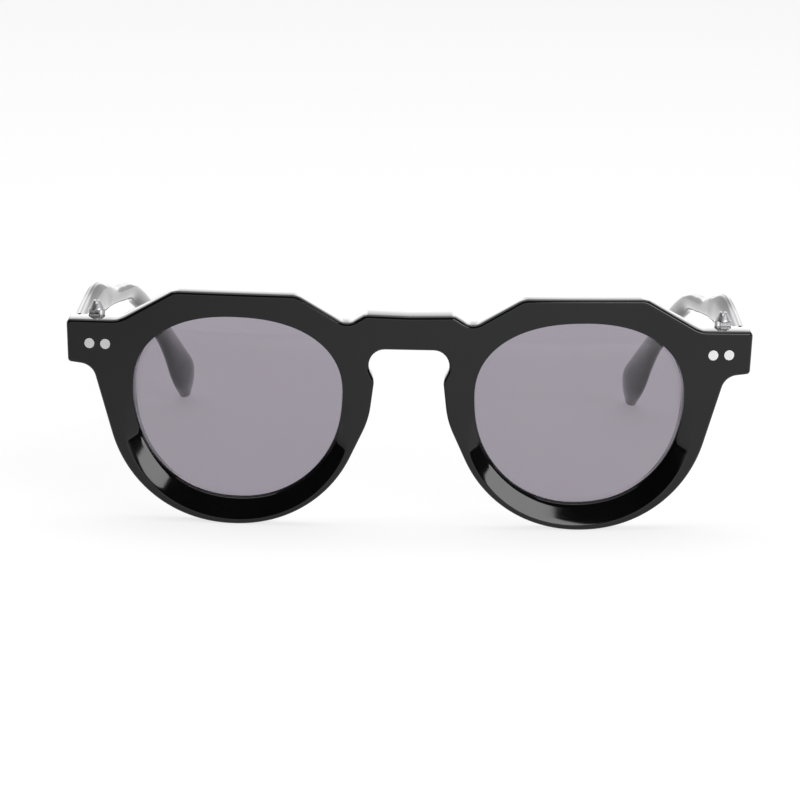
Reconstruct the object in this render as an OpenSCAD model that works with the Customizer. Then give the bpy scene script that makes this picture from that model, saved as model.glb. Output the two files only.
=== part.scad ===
// Acetate sunglasses: crown-panto front, keyhole bridge, two riveted five-knuckle hinges.
// X runs along the front, with the wearer's left side at +X. The lenses look along -Y and
// the temples reach back along +Y. Z is up from the table on which the rims and tips stand.

/* [Front] */
// Width over both endpieces
front_w = 142.2; // [136:0.2:150]
// Radius of the curved front face, seen from above
face_r = 400; // [300:10:600]
// Thickness of the bridge and the endpieces, front to back
front_t = 6.4; // [6:0.1:7]
// Thickness of the rims behind the middle of each lens
rim_t = 4.8; // [4.7:0.1:5.3]
// Width of the wall between the lens opening and the lower outline, at its side
rim_wall = 4.65; // [4:0.05:5.5]
// Height of the rim's wall under the lens opening
rim_low = 5.7; // [5:0.1:7]
// Height of the flat crown above the lens opening
crown_wall = 4.9; // [4:0.1:6]
// Length of each flat crown
crown_l = 25.3; // [22:0.1:27]
// Height of the top of the endpieces above the table
end_top = 41.8; // [41:0.1:42.5]
// Height of each endpiece
end_h = 9.1; // [8.6:0.1:10]

/* [Bridge] */
// Gap between the two lens openings
bridge_w = 26.7; // [25:0.1:29]
// Height of the top of the bridge above the table
bridge_top = 44.7; // [44:0.1:46]
// Length of the flat top of the bridge
bridge_l = 18.0; // [16:0.5:19]
// Height of the keyhole's flat top above the table
keyhole_top = 37.7; // [36.5:0.1:38.5]
// Width of the keyhole at its widest
keyhole_w = 17.0; // [16:0.1:17.8]
// Width of the neck below the keyhole
neck_w = 14.5; // [13:0.1:15]

/* [Lenses] */
// Width of each lens opening
lens_w = 43.9; // [42:0.1:46]
// Height of each lens opening above its widest line
lens_up = 16.0; // [15:0.1:17]
// Height of each lens opening below its widest line
lens_down = 22.0; // [21:0.1:22.5]
// How far each lens opening is turned, outer side up
lens_turn = 2.5; // [0:0.5:4]
// Thickness of each lens
lens_t = 1.6; // [1.4:0.1:1.8]
// Radius of the lens's front surface
lens_r = 132; // [100:2:180]
// Depth of the lens's middle behind the front face
lens_set = 0.7; // [0.6:0.1:0.8]
// Depth of the groove that holds the lens's edge
groove_d = 0.9; // [0.6:0.1:1.2]

/* [Scoop] */
// Radius of the edge of the scoop milled into each lower rim
scoop_r = 24.3; // [23.8:0.1:24.6]
// Depth of the scoop at the lowest point of the lens opening
scoop_d = 1.9; // [1.4:0.1:2]
// Height above the table at which the scoop fades out
scoop_top = 25.5; // [22:0.5:27]

/* [Temples] */
// Distance from the bridge's front face to the back of the tips
temple_reach = 133; // [126:0.5:145]
// Distance from the bridge's front face to the ear bend
ear_bend = 84; // [78:0.5:90]
// Height of the temple ahead of its waist
temple_h = 7.4; // [6.5:0.1:8.5]
// Height of the temple's slender waist, ahead of the ear bend
waist_h = 3.9; // [3.5:0.1:5]
// Thickness of the temple at the hinge
temple_t = 4.1; // [3.8:0.1:4.4]
// Thickness of the temple at the tip
tip_t = 3.3; // [3:0.1:3.6]
// Gap between the inner faces of the two tips
tip_gap = 101; // [98:1:108]
// Thickness of the metal strip inside the temple
core_t = 1.2; // [0.8:0.1:1.4]
// Height of the metal strip inside the temple
core_h = 2.2; // [1.6:0.1:2.4]

/* [Hinges] */
// Outer radius of the hinge's knuckles
knuckle_r = 1.75; // [1.5:0.05:1.8]
// Height of each of the five knuckles
knuckle_h = 1.62; // [1.5:0.02:1.7]
// Radius of the hinge screw's shank
screw_r = 0.7; // [0.6:0.05:0.8]
// Radius of the hinge screw's tapered head where it rests on the top knuckle
screw_head_r = 1.7; // [1.4:0.05:1.75]
// Radius of the top of the hinge screw's head
screw_top_r = 0.8; // [0.6:0.05:1]
// Height of the hinge screw's head
screw_head_h = 1.8; // [1:0.1:2]
// Thickness of the hinge's two plates
plate_t = 1.0; // [0.8:0.1:1.2]
// Height of the hinge's two plates
plate_h = 7.0; // [6:0.1:7.4]
// Width of the plate let into the endpiece
front_plate_w = 6.6; // [6.4:0.1:6.8]
// Length of the plate let into the temple
temple_plate_l = 11; // [10:0.5:13]

/* [Rivets] */
// Radius of the rivets' heads
rivet_head_r = 1.05; // [0.9:0.05:1.2]
// Radius of the rivets' shanks
rivet_r = 0.7; // [0.5:0.05:0.8]
// Distance between the two rivets in each endpiece
rivet_gap = 3.35; // [3:0.05:3.6]
// Distance between the two rivets in each temple
temple_rivet_gap = 5.0; // [4:0.1:6]
// Height of the endpieces' rivets above the table
rivet_z = 36.9; // [36:0.1:38]

/* [Nose pads] */
// How far the nose pads stand out behind the front
pad_d = 4.6; // [3:0.1:6]
// Width of the nose pads at their base
pad_w = 4.0; // [3:0.1:4.4]
// Height of the nose pads' upper end above the table
pad_top = 31.0; // [30:0.5:32]
// Length of the nose pads, up and down
pad_l = 17; // [14:0.5:19]

/* [Hidden] */

acetate = [0.05, 0.05, 0.06];
metal = [0.78, 0.78, 0.8];
smoke = [0.45, 0.44, 0.48, 0.6];

// The origin lies under the middle of the object's box, so all is shifted forward by this.
mid_y = temple_reach / 2;

// Clearances
fit = 0.03;         // between a rivet or plate and its seat
lens_fit = 0.05;    // between the lens's edge and its groove
pin_fit = 0.05;     // between the hinge screw and its bores
knuckle_gap = 0.08; // between neighbouring knuckles
joint_gap = 0.2;    // between the temple's end and the endpiece
turn_gap = 0.2;     // between the knuckles and the parts of the hinge that they turn past
core_fit = 0.06;    // between the metal core and its channel
room_gap = 0.3;     // around the openings cut for moving or crossing metal
cut = 1;            // how far a cutting shape runs past what it cuts
plan_fn = 720;      // steps of the large plan arcs
round_fn = 48;      // steps of small round parts

// Places on the front
lens_x = (bridge_w + lens_w) / 2;
lens_z = rim_low + lens_down;
crown_z = lens_z + lens_up + crown_wall;
end_x = front_w / 2;
wrap = asin(lens_x / face_r);
function face_y(x) = face_r - sqrt(face_r * face_r - x * x);

// Lower outline of the rim: one arc around the lens, a little fuller than a circle
rim_r = lens_w / 2 + rim_wall;
rim_x = lens_x + 1.0;
rim_out = -18;
rim_in = -155;
rim_steps = 36;
rim_power = 2.08;

// Outline helpers: a rounded corner as a list of points, and the turn of a fuller circle
function unit(v) = v / norm(v);
function rounded(before, at, after, r, n = 6) =
    let (
        u = unit(before - at),
        v = unit(after - at),
        half = acos(u * v) / 2,
        centre = at + unit(u + v) * r / sin(half),
        first = at + u * r / tan(half) - centre,
        last = at + v * r / tan(half) - centre,
        start = atan2(first.y, first.x),
        turn = atan2(first.x * last.y - first.y * last.x, first * last)
    )
    [for (i = [0:n]) centre + r * [cos(start + turn * i / n), sin(start + turn * i / n)]];
function fuller(c, power) = sign(c) * pow(abs(c), 2 / power);
function flip(points) = [for (i = [len(points) - 1:-1:0]) [-points[i].x, points[i].y]];

// Half of the front's outline, from the top of the bridge round to the top of the keyhole.
// Each row is [x, z, corner radius].
upper_keys = [
    [0, bridge_top, 0],
    [bridge_l / 2, bridge_top + 0.2, 2],
    [bridge_l / 2 + 3.9, bridge_top - 2.2, 3.5],
    [lens_x - crown_l * 0.47, crown_z, 4],
    [lens_x + crown_l * 0.53, crown_z, 4],
    [end_x - 11, end_top + 0.15, 6],
    [end_x, end_top - 0.1, 1],
    [end_x - 0.4, end_top - end_h + 0.1, 0.8],
    [end_x - 5.5, end_top - end_h - 0.4, 3.5]
];
rim_arc = [for (i = [0:rim_steps])
    let (a = rim_out + (rim_in - rim_out) * i / rim_steps)
    [rim_x + rim_r * fuller(cos(a), rim_power), rim_r + rim_r * fuller(sin(a), rim_power)]];
keyhole_r = 3.3;
neck_z = keyhole_top - 6.5;
lower_keys = [
    [neck_w / 2 + 0.85, neck_z - 8.3, 18],
    [neck_w / 2 - 0.15, neck_z, 3],
    [keyhole_w / 2 + 1.8, keyhole_top, keyhole_r],
    [0, keyhole_top, 0]
];
function xz(key) = [key.x, key.y];
half_front = concat(
    [xz(upper_keys[0])],
    [for (i = [1:len(upper_keys) - 1])
        let (next = i + 1 < len(upper_keys) ? xz(upper_keys[i + 1]) : rim_arc[0])
        each rounded(xz(upper_keys[i - 1]), xz(upper_keys[i]), next, upper_keys[i].z)],
    rim_arc,
    [for (i = [0:len(lower_keys) - 2])
        let (before = i > 0 ? xz(lower_keys[i - 1]) : rim_arc[len(rim_arc) - 1])
        each rounded(before, xz(lower_keys[i]), xz(lower_keys[i + 1]), lower_keys[i].z)],
    [xz(lower_keys[len(lower_keys) - 1])]
);
front_outline = concat(
    half_front,
    [for (p = flip(half_front)) if (p.x < -0.001) p]
);

// Outline of a lens opening, grown by a margin: a fuller ellipse with a lower half of its own
lens_power = 2.15;
lens_steps = 72;
function lens_outline(margin) =
    [for (i = [0:lens_steps - 1])
        let (
            a = 360 * i / lens_steps,
            u = (lens_w / 2 + margin) * fuller(cos(a), lens_power),
            up = (sin(a) > 0 ? lens_up : lens_down) + margin,
            v = up * fuller(sin(a), lens_power)
        )
        [u * cos(lens_turn) - v * sin(lens_turn), lens_z + u * sin(lens_turn) + v * cos(lens_turn)]];

// A shape drawn in X and Z, run through from y1 back to y2
module through(points, y1, y2) {
    translate([0, y2, 0])
        rotate([90, 0, 0])
            linear_extrude(y2 - y1)
                polygon(points);
}

// A round bar along Y, from y1 back to y2
module bar_y(r, y1, y2) {
    translate([0, y1, 0])
        rotate([-90, 0, 0])
            cylinder(r = r, h = y2 - y1, $fn = round_fn);
}

// Upright cylinder around the centre of the curved face
module face_cylinder(r) {
    translate([0, face_r, -cut])
        cylinder(r = r, h = crown_z + 2 * cut, $fn = plan_fn);
}

// Puts a shape at the middle of the left lens, square to the curved face there
module at_lens() {
    translate([lens_x, face_y(lens_x), 0])
        rotate([0, 0, wrap])
            children();
}

// Both sides alike
module both() {
    children();
    mirror([1, 0, 0]) children();
}

// Spherical shell of the lens, with its front at a given depth and a given thickness
module lens_shell(front, thick) {
    translate([0, front + lens_r, lens_z])
        difference() {
            sphere(r = lens_r, $fn = 240);
            sphere(r = lens_r - thick, $fn = 240);
        }
}

module lens_body() {
    reach = 8;
    at_lens()
        intersection() {
            through(lens_outline(groove_d - lens_fit), 0, reach);
            lens_shell(lens_set, lens_t);
        }
}

module lens_groove() {
    reach = 8;
    intersection() {
        through(lens_outline(groove_d), 0, reach);
        lens_shell(lens_set - lens_fit, lens_t + 2 * lens_fit);
    }
}

// Milled scoop: a cone around the lens, cut off by a slope that fades it out at the top
scoop_low = 1.1;   // height of the cone's edge above the table
scoop_fade = 11.3; // angle of the slope to the face
scoop_z = scoop_r + scoop_low;
scoop_rise = scoop_d / (rim_low - scoop_low);
module scoop() {
    ahead = 2;
    behind = 4;
    span = 2 * scoop_r + 3 * ahead / scoop_rise;
    intersection() {
        translate([0, -ahead, scoop_z])
            rotate([-90, 0, 0])
                cylinder(
                    r1 = scoop_r + ahead / scoop_rise,
                    r2 = scoop_r - behind / scoop_rise,
                    h = ahead + behind,
                    $fn = 180
                );
        translate([0, 0, scoop_top])
            rotate([scoop_fade, 0, 0])
                translate([-span / 2, -span, -span])
                    cube(span);
    }
}

// The rims are thinner than the bridge: a shallow hollow runs across the back of each lens,
// from beside the bridge to the edge of the hinge's plate
hollow_reach = 26.5;
hollow_r = 0.5 / ((front_t - rim_t) / pow(hollow_reach, 2) + 0.5 / (face_r - front_t));
module back_hollow() {
    translate([0, rim_t + hollow_r, -cut])
        cylinder(r = hollow_r, h = crown_z + 2 * cut, $fn = plan_fn);
}

// Left endpiece frame: origin on the face between the two rivets, Y into the material
end_rivet_x = end_x - 6.55;
end_turn = asin(end_rivet_x / face_r);
module at_end() {
    translate([end_rivet_x, face_y(end_rivet_x), 0])
        rotate([0, 0, end_turn])
            children();
}

// Hinge axis, and the same point seen in the endpiece's frame
back_r = face_r - front_t;
hinge_x = end_x - 5.8;
back_y = face_r - sqrt(back_r * back_r - hinge_x * hinge_x);
spine_t = 0.55;
hinge_y = back_y + knuckle_r + spine_t + turn_gap;
temple_x = end_x - 4.2;
plate_x = temple_x - 0.35;
leaf_y = hinge_y + sqrt(pow(knuckle_r, 2) - pow(plate_x - hinge_x, 2)) + turn_gap;
hinge_du = hinge_x - end_rivet_x;
hinge_dv = hinge_y - face_y(end_rivet_x);
hinge_u = hinge_du * cos(end_turn) + hinge_dv * sin(end_turn);
hinge_v = hinge_dv * cos(end_turn) - hinge_du * sin(end_turn);
knuckle_step = knuckle_h + knuckle_gap;
hinge_z = end_top - end_h + 1.4;
hinge_top = hinge_z + 5 * knuckle_h + 4 * knuckle_gap;
plate_z = end_top - end_h / 2;

// Rivets: shank and flush head along Y, the head's face at y = 0
rivet_head_h = 0.8;
module rivet(length, room) {
    bar_y(rivet_head_r + room, room > 0 ? -cut : 0, rivet_head_h + room);
    bar_y(rivet_r + room, rivet_head_h / 2, length + room);
}

module front_rivet(side, room = 0) {
    at_end()
        translate([side * rivet_gap / 2, 0, rivet_z])
            rivet(front_t, room);
}

module front_plate(room) {
    at_end()
        translate([
            -front_plate_w / 2 - room,
            front_t - plate_t - room,
            plate_z - plate_h / 2 - room
        ])
            cube([
                front_plate_w + 2 * room,
                plate_t + room + (room > 0 ? cut : 0),
                plate_h + 2 * room
            ]);
}

module front_frame() {
    color(acetate)
        difference() {
            intersection() {
                through(front_outline, -cut, front_t + face_y(end_x) + cut);
                face_cylinder(face_r);
            }
            face_cylinder(back_r);
            both() {
                at_lens() {
                    through(lens_outline(0), -3 * cut, front_t + 3 * cut);
                    lens_groove();
                    scoop();
                    back_hollow();
                }
                front_plate(fit);
                front_rivet(-1, fit);
                front_rivet(1, fit);
            }
        }
}

module lens() {
    color(smoke) lens_body();
}

// Upright knuckles of one leaf: the front leaf holds the first, third and fifth
module knuckles(numbers) {
    for (i = numbers)
        translate([hinge_x, hinge_y, hinge_z + i * knuckle_step])
            cylinder(r = knuckle_r, h = knuckle_h, $fn = round_fn);
}

module screw_bore() {
    translate([hinge_x, hinge_y, hinge_z - cut])
        cylinder(r = screw_r + pin_fit, h = hinge_top - hinge_z + 2 * cut, $fn = round_fn);
}

front_numbers = [0, 2, 4];
temple_numbers = [1, 3];
web_w = 2.0;

module front_hinge() {
    color(metal)
        difference() {
            union() {
                front_plate(0);
                knuckles(front_numbers);
                at_end() {
                    translate([hinge_u - web_w / 2, front_t - plate_t, plate_z - plate_h / 2])
                        cube([web_w, plate_t + spine_t, plate_h]);
                    translate([hinge_u - web_w / 2, front_t + fit, hinge_z])
                        cube([web_w, spine_t - fit, hinge_top - hinge_z]);
                    for (i = front_numbers)
                        translate([hinge_u - web_w / 2, front_t + fit, hinge_z + i * knuckle_step])
                            cube([web_w, hinge_v - front_t - fit, knuckle_h]);
                }
            }
            screw_bore();
            front_rivet(-1, fit);
            front_rivet(1, fit);
        }
}

// Screw: shank through all knuckles, tapered slotted head on the top one
slot_w = 0.5;
slot_d = 0.6;
module hinge_screw() {
    head_z = hinge_top + fit;
    color(metal)
        translate([hinge_x, hinge_y, 0])
            difference() {
                union() {
                    translate([0, 0, hinge_z])
                        cylinder(r = screw_r, h = head_z - hinge_z + slot_d / 2, $fn = round_fn);
                    translate([0, 0, head_z])
                        cylinder(r1 = screw_head_r, r2 = screw_top_r, h = screw_head_h, $fn = round_fn);
                }
                translate([-slot_w / 2, -screw_head_r, head_z + screw_head_h - slot_d])
                    cube([slot_w, 2 * screw_head_r, slot_d + cut]);
            }
}

// Temple, front to tip: points [x, y, z] on the inner side of its top and bottom edges
end_low = end_top - end_h;
tip_x = tip_gap / 2;
waist_z = 36.6;
waist_top = waist_z + waist_h / 2;
waist_low = waist_z - waist_h / 2;
mid_z = 38.7;
mid_top = mid_z + temple_h / 2;
mid_low = mid_z - temple_h / 2;
temple_start = 12;
function ahead_of_bend(share) = temple_start + (ear_bend - temple_start) * share;
function behind_bend(share) = ear_bend + (temple_reach - ear_bend) * share;
top_edge = [
    [temple_x, temple_start - 2, end_top],
    [temple_x - 0.2, ahead_of_bend(0.25), end_top + 0.2],
    [temple_x - 1.0, ahead_of_bend(0.45), mid_top + 0.2],
    [temple_x - 1.9, ahead_of_bend(0.56), mid_top - 1.2],
    [temple_x - 3.0, ahead_of_bend(0.67), waist_top + 0.4],
    [temple_x - 4.2, ahead_of_bend(0.79), waist_top - 0.6],
    [temple_x - 5.7, ear_bend - 6, waist_top - 1.9],
    [temple_x - 7.4, ear_bend + 3, waist_top - 4.8],
    [tip_x + 7.3, behind_bend(0.25), 29.4],
    [tip_x + 5.6, behind_bend(0.43), 24.8],
    [tip_x + 3.3, behind_bend(0.61), 19.3],
    [tip_x + 0.9, behind_bend(0.75), 14.0],
    [tip_x - 1.0, behind_bend(0.86), 9.3],
    [tip_x - 0.7, behind_bend(0.95), 4.4],
    [tip_x + 0.7, temple_reach, 1.0]
];
bottom_edge = [
    [temple_x, temple_start - 2, end_low + 0.1],
    [temple_x - 0.6, ahead_of_bend(0.25), end_low + 1.3],
    [temple_x - 1.8, ahead_of_bend(0.45), mid_low],
    [temple_x - 2.7, ahead_of_bend(0.55), mid_low + 0.4],
    [temple_x - 3.6, ahead_of_bend(0.66), waist_low + 0.3],
    [temple_x - 4.6, ahead_of_bend(0.77), waist_low - 0.6],
    [temple_x - 5.7, ear_bend - 7, waist_low - 1.9],
    [temple_x - 7.0, ear_bend, waist_low - 4.5],
    [tip_x + 8.0, behind_bend(0.15), 26.7],
    [tip_x + 6.4, behind_bend(0.30), 22.0],
    [tip_x + 4.5, behind_bend(0.44), 16.9],
    [tip_x + 3.4, behind_bend(0.56), 11.9],
    [tip_x + 2.7, behind_bend(0.66), 7.6],
    [tip_x + 1.9, behind_bend(0.76), 4.0],
    [tip_x + 1.3, behind_bend(0.92), 0]
];
// Thickness of the temple at the same places
thinning = [
    temple_t, temple_t, temple_t - 0.1, temple_t - 0.2, tip_t + 0.4,
    tip_t + 0.3, tip_t + 0.2, tip_t + 0.2, tip_t + 0.2, tip_t + 0.2,
    tip_t + 0.2, tip_t + 0.2, tip_t + 0.2, tip_t, tip_t - 0.8
];

// Smooth curve through rows of numbers, at a place counted in rows
function row(keys, i) =
    i < 0 ? 2 * keys[0] - keys[1]
    : i >= len(keys) ? 2 * keys[len(keys) - 1] - keys[len(keys) - 2]
    : keys[i];
function along(keys, place) =
    let (
        i = min(floor(place), len(keys) - 2),
        f = place - i,
        a = row(keys, i - 1),
        b = row(keys, i),
        c = row(keys, i + 1),
        d = row(keys, i + 2)
    )
    (2 * b + (c - a) * f + (2 * a - 5 * b + 4 * c - d) * f * f
        + (3 * b - a - 3 * c + d) * f * f * f) / 2;

// Closed skin over rings of points
module skin(rings) {
    n = len(rings[0]);
    last = len(rings) - 1;
    points = [for (ring = rings) each ring];
    sides = [for (i = [0:last - 1]) for (j = [0:n - 1])
        let (k = (j + 1) % n, a = i * n + j, b = i * n + k, c = a + n, d = b + n)
        each [[a, c, b], [b, c, d]]];
    caps = [
        [for (j = [0:n - 1]) j],
        [for (j = [n - 1:-1:0]) last * n + j]
    ];
    polyhedron(points = points, faces = concat(sides, caps), convexity = 4);
}

// Ring around the temple at a place: a rounded box between its top and bottom edges
temple_power = 3;
ring_points = 16;
ring_steps = 3;
function soft(c) = sign(c) * pow(abs(c), 2 / temple_power);
function temple_ring(place) =
    let (
        top = along(top_edge, place),
        bottom = along(bottom_edge, place),
        thick = along(thinning, place)
    )
    [for (j = [0:ring_points - 1])
        let (
            a = -360 * (j + 0.5) / ring_points,
            across = [thick * (1 + soft(cos(a))) / 2, 0, 0]
        )
        (top + bottom) / 2 + (top - bottom) * soft(sin(a)) / 2 + across];

module temple_loft() {
    skin([for (i = [0:(len(top_edge) - 1) * ring_steps]) temple_ring(i / ring_steps)]);
}

// Metal core: a strip along the temple's middle, or the channel around it.
// It starts under the back of the hinge's plate and ends inside the tip.
core_under = 1.1;
core_first = (leaf_y + temple_plate_l - core_under - top_edge[0].y) / (top_edge[1].y - top_edge[0].y);
core_last = 13;
core_steps = 36;
core_points = 8;
function core_ring(place, room) =
    let (
        top = along(top_edge, place),
        bottom = along(bottom_edge, place),
        middle = (top + bottom + [along(thinning, place), 0, 0]) / 2,
        widen = 1 / cos(180 / core_points),
        up = unit(top - bottom) * (core_h / 2 + room) * widen,
        out = [(core_t / 2 + room) * widen, 0, 0]
    )
    [for (j = [0:core_points - 1])
        let (a = -360 * (j + 0.5) / core_points)
        middle + up * sin(a) + out * cos(a)];
module core_loft(room) {
    skin([for (k = [0:core_steps])
        let (
            end_room = (k == 0 ? -room : k == core_steps ? room : 0) / ring_steps,
            place = core_first + (core_last - core_first) * k / core_steps
        )
        core_ring(place + end_room, room)]);
}

// Temple leaf of the hinge, with a web from each knuckle into the plate
web_in = 0.3;
module temple_plate(room) {
    translate([plate_x - (room > 0 ? cut : 0), leaf_y - room, plate_z - plate_h / 2 - room])
        cube([
            plate_t + room + (room > 0 ? cut : 0),
            temple_plate_l + 2 * room,
            plate_h + 2 * room
        ]);
}

// Shallow relief in the temple's end, where the knuckles turn: it opens into the plate's seat
relief_d = 0.4;
module knuckle_room() {
    start_y = hinge_y - knuckle_r - 2 * cut;
    translate([temple_x - cut, start_y, hinge_z - room_gap])
        cube([cut + relief_d, leaf_y - start_y, end_top - hinge_z + cut]);
}

// The core strip's front end shows in the floor of the plate's seat
mouth_l = 1.5;
module core_mouth() {
    floor_x = plate_x + plate_t / 2;
    translate([floor_x, leaf_y + temple_plate_l - mouth_l, plate_z - core_h / 2 - room_gap])
        cube([
            temple_x + (temple_t + core_t) / 2 - floor_x,
            mouth_l,
            core_h + 2 * room_gap
        ]);
}

// The temple's rivets end a little inside its rounded outer side
rivet_ahead = 0.4;
rivet_inside = 0.25;
temple_rivet_y = leaf_y + temple_plate_l / 2 - rivet_ahead;
temple_out = temple_x + temple_t - rivet_inside;
module temple_rivet(side, room = 0) {
    translate([temple_out, temple_rivet_y + side * temple_rivet_gap / 2, plate_z])
        rotate([0, 0, 90])
            rivet(temple_out - plate_x, room);
}

module temple() {
    color(acetate)
        difference() {
            intersection() {
                temple_loft();
                face_cylinder(back_r - joint_gap);
            }
            knuckle_room();
            core_loft(core_fit);
            core_mouth();
            temple_plate(fit);
            temple_rivet(-1, fit);
            temple_rivet(1, fit);
        }
}

module core_wire() {
    color(metal) core_loft(0);
}

module temple_hinge() {
    color(metal)
        difference() {
            union() {
                temple_plate(0);
                knuckles(temple_numbers);
                for (i = temple_numbers)
                    translate([hinge_x, hinge_y, hinge_z + i * knuckle_step])
                        cube([plate_x - hinge_x + plate_t / 2, leaf_y - hinge_y + web_in, knuckle_h]);
            }
            screw_bore();
            temple_rivet(-1, fit);
            temple_rivet(1, fit);
        }
}

// Nose pad: rounded ridge behind the rim's nose side, its base on the front's back face
pad_rows = 9;
pad_arc = 8;
pad_seat = 0.05; // gap between the pad's base and the rim
function seat_y(x) = face_r - sqrt(pow(back_r - pad_seat, 2) - x * x);
module nose_pad() {
    lean = 0.35;
    color(acetate)
        skin([for (i = [0:pad_rows - 1])
            let (
                s = i / (pad_rows - 1),
                z = pad_top - pad_l * s,
                swell = pow(sin(14 + 152 * s), 0.7),
                edge = nose_edge(z) + 0.2,
                wide = pad_w * (0.55 + 0.45 * swell),
                deep = pad_d * swell
            )
            concat(
                [[edge + wide, seat_y(edge + wide), z], [edge, seat_y(edge), z]],
                [for (j = [1:pad_arc - 1])
                    let (
                        a = 180 * j / pad_arc,
                        out = deep * pow(sin(a), 0.8),
                        x = edge + wide * (1 - cos(a)) / 2 + lean * out
                    )
                    [x, seat_y(x) + out, z]]
            )]);
}

// Where the outline's nose side lies at a given height
function nose_edge(z) =
    let (from_neck = neck_z - z)
    neck_w / 2 + 0.1 + 0.0155 * from_neck * from_neck;

// Places a part in the object's frame
module place(left) {
    translate([0, -mid_y, 0])
        mirror([left ? 0 : 1, 0, 0])
            children();
}

place(true) front_frame();
place(true) lens();  // lens_left
place(false) lens();  // lens_right
place(true) nose_pad();  // nose_pad_left
place(false) nose_pad();  // nose_pad_right
place(true) front_hinge();  // front_hinge_left
place(false) front_hinge();  // front_hinge_right
place(true) color(metal) front_rivet(-1);  // front_rivet_inner_left
place(false) color(metal) front_rivet(-1);  // front_rivet_inner_right
place(true) color(metal) front_rivet(1);  // front_rivet_outer_left
place(false) color(metal) front_rivet(1);  // front_rivet_outer_right
place(true) hinge_screw();  // hinge_screw_left
place(false) hinge_screw();  // hinge_screw_right
place(true) temple();  // temple_left
place(false) temple();  // temple_right
place(true) core_wire();  // core_wire_left
place(false) core_wire();  // core_wire_right
place(true) temple_hinge();  // temple_hinge_left
place(false) temple_hinge();  // temple_hinge_right
place(true) color(metal) temple_rivet(-1);  // temple_rivet_front_left
place(false) color(metal) temple_rivet(-1);  // temple_rivet_front_right
place(true) color(metal) temple_rivet(1);  // temple_rivet_back_left
place(false) color(metal) temple_rivet(1);  // temple_rivet_back_right
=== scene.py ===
"""Black acetate sunglasses with scooped lower rims, on a white studio table."""
import math

import bmesh
import bpy
import numpy as np
from mathutils import Matrix, Vector
from mathutils.geometry import delaunay_2d_cdt


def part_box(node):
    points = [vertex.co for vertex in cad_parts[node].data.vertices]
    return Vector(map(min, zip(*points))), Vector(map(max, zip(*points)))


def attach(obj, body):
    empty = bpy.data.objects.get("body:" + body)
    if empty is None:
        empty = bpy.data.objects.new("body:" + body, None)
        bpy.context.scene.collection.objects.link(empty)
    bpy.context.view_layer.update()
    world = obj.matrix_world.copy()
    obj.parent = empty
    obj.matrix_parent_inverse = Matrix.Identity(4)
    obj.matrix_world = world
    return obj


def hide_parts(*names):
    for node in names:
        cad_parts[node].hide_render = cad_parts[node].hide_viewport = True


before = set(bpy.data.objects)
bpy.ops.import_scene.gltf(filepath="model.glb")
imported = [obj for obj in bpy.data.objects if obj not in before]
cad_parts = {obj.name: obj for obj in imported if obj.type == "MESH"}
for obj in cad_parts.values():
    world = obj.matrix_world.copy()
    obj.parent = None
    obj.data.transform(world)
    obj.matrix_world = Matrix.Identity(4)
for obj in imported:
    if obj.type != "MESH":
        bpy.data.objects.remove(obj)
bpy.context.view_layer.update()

# All shapes are worked out in millimetres, with Y = 0 at the bridge's front face.
MM = 0.001
FRONT_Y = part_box("front_frame")[0].y / MM

# Front, from the plan of the part
FRONT_W = 142.2
FACE_R = 400.0
FRONT_T = 6.4
RIM_T = 4.8
HOLLOW_REACH = 26.5
RIM_WALL = 4.8
RIM_LOW = 5.46
RIM_POWER = 2.08
RIM_SHIFT = 0.6
CROWN_WALL = 4.94
CROWN_L = 25.3
CROWN_INNER_SHARE = 0.473
END_TOP = 41.8
END_H = 9.1
BRIDGE_W = 27.15
BRIDGE_TOP = 44.7
BRIDGE_L = 18.0
KEYHOLE_TOP = 37.7
KEYHOLE_W = 17.0
NECK_W = 14.5
NECK_Z = KEYHOLE_TOP - 6.5
END_X = FRONT_W / 2
BACK_R = FACE_R - FRONT_T
HOLLOW_R = 0.5 / ((FRONT_T - RIM_T) / HOLLOW_REACH ** 2 + 0.5 / BACK_R)

# Lenses
LENS_W = 43.6
LENS_UP = 15.38
LENS_DOWN = 22.82
LENS_TURN = math.radians(1.2)
UPPER_POWER = 2.27
LOWER_POWER = 2.13
LENS_R = 132.0
LENS_T = 1.6
LENS_SET = 0.7
LENS_IN_GROOVE = 0.85
LENS_X = (BRIDGE_W + LENS_W) / 2
LENS_Z = RIM_LOW + LENS_DOWN
WRAP = math.asin(LENS_X / FACE_R)
CROWN_Z = LENS_Z + LENS_UP + CROWN_WALL

# Scoop of the lower rims
SCOOP_R = 24.2
SCOOP_X = 0.17
SCOOP_Z = 25.2
SCOOP_DEPTH = 1.9
SCOOP_FULLER = 0.016
SCOOP_FADE_FROM = 3.0
SCOOP_FADE_OVER = 26.0
SCOOP_SOFT = 0.2

# Edge roundings
FRONT_EDGE = 0.65
END_BACK_EDGE = 0.25
RIM_BACK_EDGE = 1.1
LENS_FRONT_EDGE = 0.12
LIP_EDGE = 0.8
LENS_BACK_EDGE = 0.45
ROUND_STEPS = 5
ROUND_SPAN = 1.35

# Distance between the points that fill the front's faces
SHEET_STEP = 1.6

# Seats of the hinge plates in the back of the endpieces
PLATE_W = 6.6
PLATE_H = 7.0
PLATE_T = 1.0
PLATE_Z = END_TOP - END_H / 2
END_RIVET_X = END_X - 6.55
END_TURN = math.asin(END_RIVET_X / FACE_R)
PLATE_X = END_RIVET_X - FRONT_T * math.sin(END_TURN)
SEAT_FIT = 0.04
SEAT_WALL = 0.02

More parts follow.
